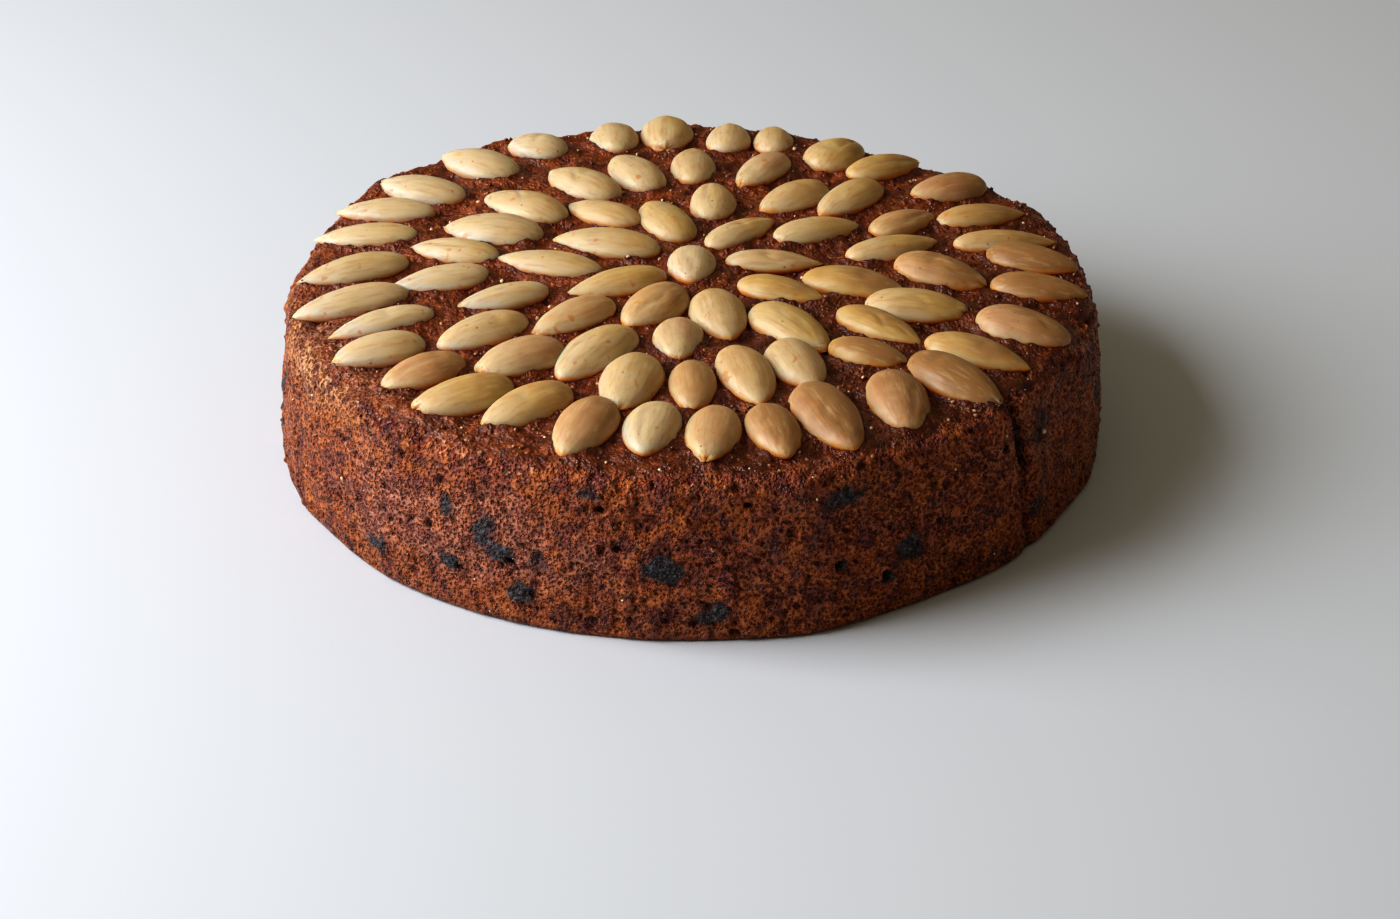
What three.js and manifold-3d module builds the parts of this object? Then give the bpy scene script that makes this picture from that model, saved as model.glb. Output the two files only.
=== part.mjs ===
// Round rich fruit cake, its top set with whole blanched almonds in rings. Millimetres, +Z up.
// The origin is the middle of the flat underside. Bearings are in degrees, anticlockwise from +X,
// and -Y is the side that is looked at.
import * as THREE from "three";
import Module from "manifold-3d";

const wasm = await Module();
wasm.setup();

// The cake body
const BASE_RADIUS = 101.3; // from an 8 inch round tin
const SIDE_HEIGHT = 41.3;
const TAPER = 1.8; // how much smaller the side's radius is at its top
const BULGE = 0.6; // how far the middle of the side swells
const FOOT_ROUND = 1.6; // soft edge at the underside
const SHOULDER_OUT = 6; // width of the soft edge at the top
const SHOULDER_DOWN = 5; // its depth
const DOME = 2.6; // how much higher the middle of the top is than its edge
const MOUND = 0.45; // height of the low swells of the top crust
const MOUND_LENGTH = 7.5;
const MOUND_PHASES = [0.4, -0.9, 2.1]; // along x, along y and along both
const SLANTED_MOUND = 0.6; // height of the slanted swells as a share of the others

// Where the baking paper pushed the side in (depth below 0) or let it out: a bell of that bearing
// and spread in degrees. The share tells how much of it is left at the foot.
const DENTS = [
  { bearing: 56, spread: 13, depth: -5, share: 0.8 }, // flat stretch at the back
  { bearing: 25, spread: 10, depth: 2.3, share: 0.6 },
  { bearing: 145, spread: 10, depth: 2.2, share: 0.2 }, // lip of crust
  { bearing: 122, spread: 5, depth: 1.8, share: 0.2 }, // lip of crust
  { bearing: 185, spread: 24, depth: -0.8, share: 0.3 },
  { bearing: 212, spread: 9, depth: -0.9, share: 1 },
  { bearing: 286, spread: 6, depth: 1.1, share: 1 },
  { bearing: 305, spread: 11, depth: -1.5, share: 1 }, // flat stretch beside the crease
  { bearing: 333, spread: 8, depth: -1.3, share: 1.1 }, // set back beyond the crease
  { bearing: 354, spread: 13, depth: 0.7, share: 1.4 },
];
// The sharp fold that the paper left in the side. It leans a little from top to foot.
const CREASE_TOP = 320.5;
const CREASE_FOOT = 323.5;
const CREASE_HALF_WIDTH = 1.6;
const CREASE_DEPTH = 2.6;
const CREASE_LEFT = 0.3; // share of the depth that is left at the foot
// Lips of crust that stand a little above the rest of the rim
const LIPS = [
  { bearing: 141, spread: 7, height: 2.3 },
  { bearing: 122, spread: 5, height: 2 },
  { bearing: 106, spread: 4, height: 1.2 },
];
const LIP_INSET = 3; // from the side's edge in to a lip's highest line
const LIP_WIDTH = 4;

// How finely the body is drawn
const SECTORS = 52;
const CREASE_STEPS = [-3.2, -1.6, 0, 1.6, 3.2]; // extra bearings beside the crease
const CREASE_CLEARANCE = 1.5; // from them to the next even bearing, at the least
const FOOT_STEPS = 3;
const SIDE_RINGS = 2;
const SHOULDER_STEPS = 4;
const TOP_RINGS = 7;
const FEWEST_SECTORS = 8; // in the ring nearest the middle

// Almonds: one outline for all, widest nearer the blunt end, with a pointed end at +X
const WIDEST_AT = -0.14; // along the half length
const THICKNESS = 0.64; // as a share of the width
const LIFT = 0.6; // how far the middle of an almond lies above the crust
const BLUNT_POWER = 2.2;
const POINT_POWER = 1.8;
const POINT_SHARPNESS = 0.8;
const STATIONS = [-0.9, -0.58, -0.12, 0.38, 0.78];
const SECTION = [0, 40, 90, 140, 180, 235, 305]; // corners of the section, in degrees, most on top
const TILT_REACH = 0.36; // share of its length, each way, over which an almond takes the crust's slope
const GAP = 0.65; // room round an almond in its pocket

// Where the almonds lie. A row: bearing, distance from the middle, length, width, and how far the
// pointed end is turned anticlockwise from straight out (near 180: it points inwards).
const OUTER_RING = [
  [7, 86, 24, 12.5, -28],
  [14, 82, 27, 10.5, -4],
  [25, 82, 24, 11, -6],
  [38, 85, 22, 13, 168],
  [52.5, 84, 23.5, 12, -16],
  [62, 83, 21, 15, -6],
  [75, 87, 19, 10.5, 15],
  [83, 85, 17, 12, 2],
  [94, 87, 18, 14, 175],
  [103, 86, 17, 13, 173],
  [117, 88, 17, 13, 38],
  [129, 87, 24, 14, 17],
  [143, 86, 25, 12.5, 15],
  [153, 87, 26, 11, 21],
  [163, 85, 27, 11, 12],
  [177, 83, 29, 12.5, 26],
  [189, 83, 29.5, 12.5, 11],
  [199, 78, 27, 10.5, 4],
  [208, 83, 23, 13, -7],
  [219, 80, 22, 13, -8],
  [230.1, 81, 25, 14.6, -23],
  [241, 77, 25, 14, -22],
  [253, 81.3, 25, 14, -4],
  [264.2, 79, 22, 13.5, -6],
  [273.9, 81, 24, 13, -11],
  [284, 82, 22, 12.5, 0],
  [294, 79.8, 29.5, 15, -3],
  [306.7, 81, 25, 14.5, -27],
  [319, 82.9, 28, 14.5, -7],
  [329, 80, 27, 12.5, 6],
  [341, 85, 24, 14.5, -7],
  [356, 86, 24, 12, -8],
];
const SECOND_RING = [
  [1, 62, 24, 14, -28],
  [16, 53, 26, 11, 10],
  [29, 62, 20, 10.5, 6],
  [47, 60, 25, 12.5, 185],
  [59, 52, 23, 13.5, 165],
  [73, 65, 22, 11.5, 166],
  [89, 66, 24, 12, 1],
  [103, 62, 24, 13, 14],
  [117, 60, 24, 13.5, 21],
  [137, 57, 25, 13.5, 10],
  [153, 55, 26, 14.5, 14],
  [167, 59.8, 24, 11, -5],
  [182, 61, 25, 11.5, 11],
  [196, 47, 24, 10.5, 5],
  [212, 58, 25, 13.5, 2],
  [229, 60, 23, 14.5, -17],
  [243, 48, 28, 14.5, -9],
  [257, 59, 25.5, 14.9, 0],
  [271, 59, 21, 11.5, -1],
  [284, 56, 27, 13.2, 1],
  [298, 55, 23.5, 13.5, -10],
  [315, 60, 20, 11, 18],
  [328, 54, 25, 11.5, -8],
  [342, 58, 25, 14, 9],
];
const THIRD_RING = [
  [36, 40, 24, 11.5, -11],
  [82, 42, 21, 12, 8],
  [122, 41, 23, 11, 24],
  [171, 35, 28, 11, -8],
  [222, 37, 24, 12.5, -3],
  [266.5, 36.4, 19.5, 12.5, 3],
  [309, 39, 26, 14, 1],
  [351, 41, 26, 13, -8],
];
const INNER_RING = [
  [16, 22, 24, 9.5, -16],
  [60, 26, 23, 10.5, -16],
  [101, 30, 24, 13, 12],
  [142, 26, 28, 13, 23],
  [200, 19, 27, 11.5, 4],
  [246, 21, 23, 14, -8],
  [288, 25, 25, 14, -7],
  [335, 25, 23, 10.8, 1],
];
const CENTRE = [[73, 3, 18, 12.5, 197]];

// Almonds that lie against each other are one piece, named by ring and place in its list
const TOUCHING = [
  ["outer_01", "outer_02"],
  ["outer_05", "outer_06"],
  ["outer_17", "second_13"],
  ["outer_21", "outer_22"],
  ["outer_23", "second_18"],
  ["outer_27", "second_21", "third_07"],
  ["outer_29", "outer_30"],
  ["second_04", "second_05"],
  ["second_12", "third_04"],
  ["second_16", "second_17"],
  ["second_23", "second_24", "third_08"],
  ["third_03", "inner_03"],
];

// Finishes
const CRUST = { color: 0x6a3019, roughness: 0.8, metalness: 0 };
const BLANCHED = { color: 0xd9b98a, roughness: 0.45, metalness: 0 };

const radians = THREE.MathUtils.degToRad;
const turn = Math.PI * 2;

// Shortest way round from one bearing to another, in degrees
function apart(a, b) {
  return THREE.MathUtils.euclideanModulo(a - b + 180, 360) - 180;
}

function bell(offset, spread) {
  return Math.exp(-((offset / spread) ** 2));
}

// Radius of the side at a bearing, before the taper. The share of height is 0 at the foot.
function sideRadius(bearing, share) {
  let radius = BASE_RADIUS - TAPER * share + BULGE * Math.sin(Math.PI * share);
  for (const dent of DENTS) {
    const left = THREE.MathUtils.lerp(dent.share, 1, share);
    radius += dent.depth * left * bell(apart(bearing, dent.bearing), dent.spread);
  }
  const crease = THREE.MathUtils.lerp(CREASE_FOOT, CREASE_TOP, share);
  const creaseLeft = THREE.MathUtils.lerp(CREASE_LEFT, 1, share);
  radius -= CREASE_DEPTH * creaseLeft * bell(apart(bearing, crease), CREASE_HALF_WIDTH);
  return radius;
}

// Height of the crust over a point of the top
function crustHeight(x, y) {
  const r = Math.hypot(x, y);
  const bearing = THREE.MathUtils.radToDeg(Math.atan2(y, x));
  const edge = sideRadius(bearing, 1);
  let z = SIDE_HEIGHT + DOME * (1 - (r / edge) ** 2);
  const [phaseX, phaseY, phaseBoth] = MOUND_PHASES;
  z += MOUND * Math.sin(x / MOUND_LENGTH + phaseX) * Math.cos(y / MOUND_LENGTH + phaseY);
  z += MOUND * SLANTED_MOUND * Math.sin((x + y) / MOUND_LENGTH + phaseBoth);
  for (const lip of LIPS) {
    z += lip.height * bell(apart(bearing, lip.bearing), lip.spread) * bell(edge - r - LIP_INSET, LIP_WIDTH);
  }
  const over = (r - (edge - SHOULDER_OUT)) / SHOULDER_OUT;
  if (over > 0) {
    z -= SHOULDER_DOWN * (1 - Math.sqrt(Math.max(0, 1 - over * over)));
  }
  return z;
}

function polar(radius, bearing, z) {
  return [radius * Math.cos(radians(bearing)), radius * Math.sin(radians(bearing)), z];
}

// Bearings of one ring of the body: even sectors, closer together beside the crease
function bearings(share) {
  const crease = THREE.MathUtils.lerp(CREASE_FOOT, CREASE_TOP, share);
  const close = CREASE_STEPS.map((step) => crease + step);
  const even = Array.from({ length: SECTORS }, (_, k) => (k * 360) / SECTORS);
  const reach = CREASE_STEPS.at(-1) + CREASE_CLEARANCE;
  const kept = even.filter((bearing) => Math.abs(apart(bearing, crease)) > reach);
  return [...kept, ...close].sort((a, b) => a - b);
}

// Rings of points of the body, from the underside up and over to the middle of the top
function bodyRings() {
  const rings = [];
  for (let k = 0; k < FOOT_STEPS; k += 1) {
    const angle = ((k / FOOT_STEPS) * Math.PI) / 2;
    const z = FOOT_ROUND * (1 - Math.cos(angle));
    const inset = FOOT_ROUND * (1 - Math.sin(angle));
    rings.push(bearings(0).map((b) => polar(sideRadius(b, 0) - inset, b, z)));
  }
  const sideTop = SIDE_HEIGHT - SHOULDER_DOWN;
  for (let k = 0; k <= SIDE_RINGS; k += 1) {
    const z = THREE.MathUtils.lerp(FOOT_ROUND, sideTop, k / SIDE_RINGS);
    const share = k / SIDE_RINGS;
    rings.push(bearings(share).map((b) => polar(sideRadius(b, share), b, z)));
  }
  for (let k = 1; k <= SHOULDER_STEPS; k += 1) {
    const angle = ((k / SHOULDER_STEPS) * Math.PI) / 2;
    const inset = SHOULDER_OUT * (1 - Math.cos(angle));
    rings.push(bearings(1).map((b) => onCrust(sideRadius(b, 1) - inset, b)));
  }
  for (let k = 1; k < TOP_RINGS; k += 1) {
    const share = 1 - k / TOP_RINGS;
    const count = Math.max(FEWEST_SECTORS, Math.round(SECTORS * share));
    const around = Array.from({ length: count }, (_, j) => (j * 360) / count);
    rings.push(around.map((b) => onCrust((sideRadius(b, 1) - SHOULDER_OUT) * share, b)));
  }
  return rings;
}

function onCrust(radius, bearing) {
  const [x, y] = polar(radius, bearing, 0);
  return [x, y, crustHeight(x, y)];
}

// Joins two rings of points, given as starts in the point list and counts, with triangles
function joinRings(index, lower, upper, points) {
  const angle = (ring, k) => {
    const [x, y] = points[ring.start + (k % ring.count)];
    const around = THREE.MathUtils.euclideanModulo(Math.atan2(y, x) + 1e-6, turn);
    return around + (k >= ring.count ? turn : 0);
  };
  const at = (ring, k) => ring.start + (k % ring.count);
  let a = 0;
  let b = 0;
  while (a < lower.count || b < upper.count) {
    const takeLower = b >= upper.count || (a < lower.count && angle(lower, a + 1) <= angle(upper, b + 1));
    if (takeLower) {
      index.push(at(lower, a), at(lower, a + 1), at(upper, b));
      a += 1;
    } else {
      index.push(at(lower, a), at(upper, b + 1), at(upper, b));
      b += 1;
    }
  }
}

// A closed skin over rings of points, ended by one point at each end
function skin(first, rings, last) {
  const points = [first];
  const index = [];
  const spans = rings.map((ring) => {
    const span = { start: points.length, count: ring.length };
    points.push(...ring);
    return span;
  });
  points.push(last);
  const bottom = spans[0];
  const top = spans.at(-1);
  for (let k = 0; k < bottom.count; k += 1) {
    index.push(0, bottom.start + ((k + 1) % bottom.count), bottom.start + k);
  }
  for (let k = 1; k < spans.length; k += 1) {
    joinRings(index, spans[k - 1], spans[k], points);
  }
  for (let k = 0; k < top.count; k += 1) {
    index.push(points.length - 1, top.start + k, top.start + ((k + 1) % top.count));
  }
  return { points, index };
}

function solid({ points, index }) {
  const mesh = new wasm.Mesh({
    numProp: 3,
    vertProperties: new Float32Array(points.flat()),
    triVerts: new Uint32Array(index),
  });
  return new wasm.Manifold(mesh);
}

// Half width of an almond as a share of its greatest, at a place from -1 (blunt) to 1 (point)
function almondOutline(place) {
  if (place < WIDEST_AT) {
    const back = (WIDEST_AT - place) / (1 + WIDEST_AT);
    return Math.sqrt(1 - back ** BLUNT_POWER);
  }
  const forward = (place - WIDEST_AT) / (1 - WIDEST_AT);
  return (1 - forward ** POINT_POWER) ** POINT_SHARPNESS;
}

// An almond lying in the crust, larger all round by grow
function almond([bearing, distance, length, width, lean], grow) {
  const [x, y] = polar(distance, bearing, 0);
  const heading = radians(bearing + lean);
  const reach = length * TILT_REACH;
  const ahead = crustHeight(x + reach * Math.cos(heading), y + reach * Math.sin(heading));
  const behind = crustHeight(x - reach * Math.cos(heading), y - reach * Math.sin(heading));
  const pitch = Math.atan2(ahead - behind, 2 * reach);
  const place = new THREE.Matrix4()
    .makeTranslation(x, y, (ahead + behind) / 2 + LIFT)
    .multiply(new THREE.Matrix4().makeRotationZ(heading))
    .multiply(new THREE.Matrix4().makeRotationY(-pitch));
  const halfLength = length / 2 + grow;
  const halfWidth = width / 2 + grow;
  const halfThickness = (width * THICKNESS) / 2 + grow;
  const put = (along, across, up) => new THREE.Vector3(along, across, up).applyMatrix4(place).toArray();
  const points = [put(-halfLength, 0, 0)];
  const index = [];
  for (const station of STATIONS) {
    const share = almondOutline(station);
    for (const corner of SECTION) {
      const across = halfWidth * share * Math.cos(radians(corner));
      const up = halfThickness * share * Math.sin(radians(corner));
      points.push(put(station * halfLength, across, up));
    }
  }
  points.push(put(halfLength, 0, 0));
  const last = points.length - 1;
  const sides = SECTION.length;
  for (let k = 0; k < sides; k += 1) {
    const next = (k + 1) % sides;
    index.push(0, 1 + next, 1 + k);
    for (let ring = 0; ring < STATIONS.length - 1; ring += 1) {
      const here = 1 + ring * sides;
      const there = here + sides;
      index.push(here + k, here + next, there + k, here + next, there + next, there + k);
    }
    const end = 1 + (STATIONS.length - 1) * sides;
    index.push(last, end + k, end + next);
  }
  return solid({ points, index });
}

// The almonds by name, then the pieces that they form
function almondPieces(grow) {
  const rings = {
    outer: OUTER_RING,
    second: SECOND_RING,
    third: THIRD_RING,
    inner: INNER_RING,
    centre: CENTRE,
  };
  const single = new Map();
  for (const [ring, rows] of Object.entries(rings)) {
    rows.forEach((row, k) => {
      single.set(`${ring}_${String(k + 1).padStart(2, "0")}`, almond(row, grow));
    });
  }
  const pieces = new Map();
  for (const names of TOUCHING) {
    pieces.set(`almonds_${names.join("_")}`, wasm.Manifold.union(names.map((name) => single.get(name))));
    names.forEach((name) => single.delete(name));
  }
  for (const [name, shape] of single) {
    pieces.set(`almond_${name}`, shape);
  }
  return pieces;
}

// The body with a pocket for each almond, without any loose scrap that the pockets cut off
function cakeBody() {
  const top = crustHeight(0, 0);
  let body = solid(skin([0, 0, 0], bodyRings(), [0, 0, top]));
  for (const pocket of almondPieces(GAP).values()) {
    body = body.subtract(pocket);
  }
  const parts = body.decompose();
  return parts.sort((a, b) => b.volume() - a.volume())[0];
}

function asMesh(name, shape, finish) {
  const { vertProperties, triVerts } = shape.getMesh();
  const geometry = new THREE.BufferGeometry();
  geometry.setAttribute("position", new THREE.BufferAttribute(vertProperties, 3));
  geometry.setIndex(new THREE.BufferAttribute(triVerts, 1));
  geometry.computeVertexNormals();
  const mesh = new THREE.Mesh(geometry, new THREE.MeshStandardMaterial(finish));
  mesh.name = name;
  return mesh;
}

const cake = new THREE.Group();
cake.add(asMesh("cake_body", cakeBody(), CRUST));
for (const [name, shape] of almondPieces(0)) {
  cake.add(asMesh(name, shape, BLANCHED));
}

export default cake;
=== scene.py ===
"""A round fruit cake set with whole almonds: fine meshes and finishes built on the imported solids.

Lengths are millimetres, as in the part's own source, until make_piece() turns them into metres.
Bearings are degrees, anticlockwise from +X, and -Y is the side that the camera looks at.
The last number of each call of noise() and pits() is its salt, which tells it from the other calls.
"""

import itertools
import math
from types import SimpleNamespace

import bmesh
import bpy
import numpy as np
from mathutils import Matrix, Vector
from mathutils.bvhtree import BVHTree


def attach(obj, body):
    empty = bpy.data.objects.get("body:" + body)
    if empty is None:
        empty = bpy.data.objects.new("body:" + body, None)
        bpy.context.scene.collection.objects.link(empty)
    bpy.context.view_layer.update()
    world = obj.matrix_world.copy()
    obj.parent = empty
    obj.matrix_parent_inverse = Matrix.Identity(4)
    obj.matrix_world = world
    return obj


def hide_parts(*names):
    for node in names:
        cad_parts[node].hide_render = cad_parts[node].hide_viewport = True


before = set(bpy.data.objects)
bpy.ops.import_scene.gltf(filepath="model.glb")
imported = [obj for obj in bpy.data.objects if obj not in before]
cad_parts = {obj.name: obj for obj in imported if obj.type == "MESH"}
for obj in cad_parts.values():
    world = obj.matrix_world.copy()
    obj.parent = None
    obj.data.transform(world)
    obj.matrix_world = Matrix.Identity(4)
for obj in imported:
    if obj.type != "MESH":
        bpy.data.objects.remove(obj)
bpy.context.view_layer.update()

MM = 0.001
TINY = 1e-12  # stands in for a length of 0 in a division
ROOT = "root"

# The cake body, as its solid has it
BASE_RADIUS = 101.3
SIDE_HEIGHT = 41.3
TAPER = 1.8
BULGE = 0.6
FOOT_ROUND = 1.6
SHOULDER_OUT = 6
SHOULDER_DOWN = 5
DOME = 2.6
MOUND = 0.45
MOUND_LENGTH = 7.5
MOUND_PHASES = (0.4, -0.9, 2.1)
SLANTED_MOUND = 0.6
# Bearing, spread, depth, share left at the foot
DENTS = (
    (56, 13, -5, 0.8),
    (25, 10, 2.3, 0.6),
    (145, 10, 2.2, 0.2),
    (122, 5, 1.8, 0.2),
    (185, 24, -0.8, 0.3),
    (212, 9, -0.9, 1),
    (286, 6, 1.1, 1),
    (305, 11, -1.5, 1),
    (333, 8, -1.3, 1.1),
    (354, 13, 0.7, 1.4),
)
# The one sharp fold in the side: bearings of its ends, then its size and the share of depth at the foot
CREASE_TOP = 320.5
CREASE_FOOT = 323.5
CREASE_HALF_WIDTH = 1.6
CREASE_DEPTH = 2.6
CREASE_LEFT = 0.3
# Lips of crust: bearing, spread, height
LIPS = ((141, 7, 2.3), (122, 5, 2), (106, 4, 1.2))
LIP_INSET = 3
LIP_WIDTH = 4

# How finely the body is drawn
SIDE_SECTORS = 1240
SIDE_RINGS = 68
SHOULDER_RINGS = 15
FOOT_RINGS = 3
TOP_SPACING = 0.62
UNDERSIDE_SPACING = 5
FEWEST_SECTORS = 8
UNDERSIDE_MORE_SECTORS = 12

# Fine relief of the body: how far it stands out of the plain form or lies below it
SWELLS = 0.6
GRAIN = 0.27
NUBS = 0.55  # small crumbs that stand out of the side
CRUST_LUMPS = 0.6
CRUST_SWELLS = 0.35
BUBBLE_DEPTH = 1.0
PORE_DEPTH = 0.6
HOLE_DEPTH = 2.0
CLIMB = 0.75  # of the crust against each almond
CLIMB_UNEVENNESS = 0.35
CLIMB_REACH = 1.5
PLAIN_FOOT = 2.5  # the height below which the relief fades
# The open groove along the sharp fold, deepest at the top, and the lip beside it
GROOVE_DEPTH = 0.9
GROOVE_DEEPER = 1.9
GROOVE_HALF_WIDTH = 0.8
CREASE_LIP = 0.7
CREASE_LIP_ASIDE = 1.7
CREASE_LIP_HALF_WIDTH = 0.9
# Faint upright folds in the side: bearing, half width in degrees, depth
FOLDS = (
    (20.0, 0.8, 0.5),
    (98.0, 0.7, 0.5),
    (166.0, 0.8, 0.5),
    (200.0, 0.9, 0.5),
    (231.0, 0.8, 0.4),
    (250.5, 0.9, 0.5),
    (257.2, 0.6, 0.6),
    (261.0, 0.7, 0.7),
    (263.4, 0.5, 0.4),
    (276.5, 0.6, 0.4),
    (296.0, 0.8, 0.5),
)

# Dried fruit that shows flush in the side: bearing, height, half width, half height, how dark
SIDE_FRUIT = (
    (224.1, 8.7, 3.2, 2.2, 0.9),
    (236.7, 27, 2.6, 2.4, 0.8),
    (237, 12.2, 2.8, 1.9, 0.9),
    (242.6, 22.5, 2.6, 3.6, 1),
    (244.6, 17.5, 2.8, 2, 0.9),
    (247.4, 9, 2.6, 2.6, 1),
    (249.8, 18.1, 1.8, 3, 0.5),
    (256.6, 35.5, 3.6, 1.3, 0.6),
    (266.8, 18.9, 3.6, 2.8, 1),
    (271.8, 7, 2.4, 1.4, 0.7),
    (273.6, 8.8, 2.2, 2.6, 1),
    (289.8, 16.5, 1, 1.8, 1),
    (291.2, 33.5, 5.5, 2.4, 0.8),
    (297.2, 10.4, 1.2, 1.9, 1),
    (300.6, 16.5, 3.4, 3.4, 1),
    (321.6, 32.5, 2.2, 4.5, 0.5),
    (325.5, 11, 3, 3, 0.6),
    (326.5, 30, 4.5, 4, 0.5),
)
SEEN_FROM, SEEN_TO = 195, 345  # bearings of the side that the camera sees
FRUIT_PIECES_UNSEEN = 34  # on the rest of the side
FRUIT_SEED = 7
FRUIT_HALF_SIZES = (1.6, 3.4)
FRUIT_HEIGHTS = (6, 36)
FRUIT_DARKNESS = (0.7, 1)
# Pale fruit and peel: bearing, height, half width, half height, strength
SIDE_PEEL = (
    (202, 29, 2.2, 2.6, 1),
    (232, 33, 1.6, 1.3, 1),
    (279.5, 37, 1.8, 1.6, 1),
    (283.4, 22.1, 2, 2.2, 1),
    (308, 21, 1.5, 1.5, 1),
)
# Small dark holes: bearing, height, half width, half height, strength
SIDE_HOLES = (
    (238.6, 11.4, 1.1, 0.8, 1),
    (246.3, 16.4, 1.3, 0.9, 1),
    (258.6, 33, 1.2, 0.8, 1),
    (260.8, 23.6, 0.9, 0.6, 1),
    (277.8, 34.5, 1, 0.7, 1),
    (289.8, 16.5, 0.8, 1.6, 1),
    (297, 10.6, 0.9, 1.6, 1),
    (317.8, 31.5, 1.2, 0.8, 1),
)

# Where the side and the crust differ in colour, and where light, shade and sheen are painted on them
PAINTED_LIGHT_BEARING, PAINTED_LIGHT_SPREAD = 201, 17  # painted light: the lit, gold-brown stretch of the side on the left
PAINTED_LIGHT_HEIGHT, PAINTED_LIGHT_TALL = 40, 7
RED_RIM_BEARING, RED_RIM_SPREAD = 235, 60
RIM_STRENGTH = 0.65
SHEEN_BEARING, SHEEN_SPREAD = 238, 24  # painted sheen: a pinkish stretch of the side where the light glances off it
SHEEN_HEIGHT, SHEEN_TALL = 20, 12
EDGE_SHEEN_BEARING, EDGE_SHEEN_SPREAD = 205, 26  # painted sheen on the left edge of the crust
EDGE_SHEEN_FROM, EDGE_SHEEN_FULL = 76, 88
SHADED_SPOT, SHADED_SPOT_REACH = (15, -22), 26  # painted shade: a darker spot of the crust towards the front
# Painted shade grows towards the right and, by this share, towards the front
SHADE_TO_FRONT = 0.6
# Painted shade near the foot of the side
FOOT_SHADE_HEIGHT, FOOT_SHADE_STRENGTH = 11, 0.25
SYRUP_SHADE_REACH, SYRUP_SHADE_STRENGTH = 1.1, 0.6  # round each almond: syrup, with painted contact shade
# Warm bands of the side: heights of the upper one, of the one at the foot, partly painted bounce light,
# and of the one in the painted light
WARM_UPPER, WARM_LOWER, WARM_IN_PAINTED_LIGHT = 31, 1, 38
WARM_TALL = 8
# Warmer patches of the side: bearing, spread, height, half height, strength. The low one on the right is
# partly painted bounce light.
WARM_PATCHES = ((257, 8, 34, 7, 0.8), (325, 25, 9, 9, 0.7))

GRAINS = 2800
GRAIN_SEED = 21
GRAIN_RADIUS = (0.16, 0.75)
GRAIN_SKEW = 2.5  # over 1, most grains are small
GRAIN_UNEVENNESS = (0.7, 1.25)
GOLDEN_RATIO = (1 + math.sqrt(5)) / 2

# The form of an almond, close to its solid's
WIDEST_AT = -0.14
BLUNT_POWER = 2.2
POINT_POWER = 1.95
ROUND_POINT, KEEN_POINT = 0.5, 0.78  # the sharpness of short, plump almonds and of long, slim ones
PLUMP, SLIM = 1.5, 2.5  # length over width
RIDGE = 1.18  # over 1, the section peaks at a soft ridge
THICKNESS = 0.64
ALMOND_STATIONS = 46
ALMOND_SIDES = 44
FURROW_HALF_WIDTH = 7  # degrees round the almond
DIMPLE_LENGTH, DIMPLE_HALF_WIDTH = 0.14, 24
TORN_FROM = 0.78  # along the half length
FURROW_WANDER = 14  # degrees
TORN_LOBES = 2.2  # the larger, the more lobes a torn tip has
TORN_SHORTER = 0.9
# Painted shade: almonds more brown towards the front right, away from the light
SHADE_BROWNING = 0.4
SHADE_BROWNING_AT_RIGHT = 0.28
ALMOND_SEED = 100
ALMOND_REACH = 4.0  # how far from an almond the crust can tell that it is there
# Unevenness of an almond, as shares of its half width
ALMOND_SWELL = 0.035
ALMOND_UNEVENNESS = 0.012
ALMOND_FLUTING = 0.014
# Reading the almonds from their solids
SAME_POINT = 1e-6  # metres
HOLLOW_EDGE = 6  # degrees
SMALLEST_ALMOND = 10
# Almonds that differ from their neighbours: bearing, distance from the middle, how browned, how pink
ODD_ALMONDS = (
    # Outer ring
    (7, 86, 0.6, 0.6),
    (52, 83, 0.2, 0),
    (62, 83, 0.2, 0),
    (199, 78, -0.3, 0.3),
    (208, 84, 0.15, 0.3),
    (219, 80, 0.5, 0.9),
    (230, 81, 0.45, 0.1),
    (242, 78, 0.1, 0.2),
    (253, 82, 0.1, 0.9),
    (264, 79, -0.8, 0.4),
    (274, 80, 0, 0.8),
    (284, 82, 0.5, 0.8),
    (294, 80, 0.3, 1),
    (307, 81, 0.3, 1),
    (319, 83, 0.4, 0.7),
    (330, 80, 0.2, 0.2),
    (343, 84, 0.2, 1),
    (356, 86, 0.55, 0.9),
    # Second ring
    (1, 62, 0.3, 0.8),
    (196, 47, -0.3, 0.2),
    (212, 58, -0.1, 0.4),
    (229, 60, 0, 0.9),
    (243, 48, 0, 0.1),
    (257, 59, -0.2, 0.3),
    (271, 59, 0, 0.7),
    (283, 56, -0.3, 0.5),
    (298, 55, -0.2, 0.7),
    (316, 59, 0.6, 0.1),
    (327, 53, 0, 0),
    (341, 58, -0.5, 0.1),
    # Nearer the middle
    (73, 3, -0.4, 0.3),
    (222, 37, 0, 0.7),
    (246, 21, 0.3, 0.6),
    (309, 39, -0.2, 0),
    (335, 25, 0.2, 0),
    (350, 41, 0.25, 0),
)
ODD_ALMOND_REACH = 7
SHADED_SIDE_BEARING = 25  # the bearing of the side of each almond that is painted more brown, as shade away from the light

# The camera, fitted to the photograph
CAMERA_PLACE = (2.85, -828.76, 446.97)
CAMERA_PITCH = 28.758
CAMERA_YAW = -0.005
CAMERA_ROLL = 0.16
SENSOR_WIDTH = 36
LENS = 96.2
NEAREST_SEEN, FARTHEST_SEEN = 0.01, 50  # metres

# The floor and the light, in metres and watts
FLOOR_REACH = 4.0
LIGHT_BEARING = 189
LIGHT_ELEVATION = 35
LIGHT_DISTANCE = 1.0
LIGHT_SIZE = 0.75
LIGHT_POWER = 14.1
LIGHT_TINT = (0.94, 0.98, 1.0)
SKY_TINT = (1.0, 0.90, 0.64, 1)
SKY_STRENGTH = 0.2

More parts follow.
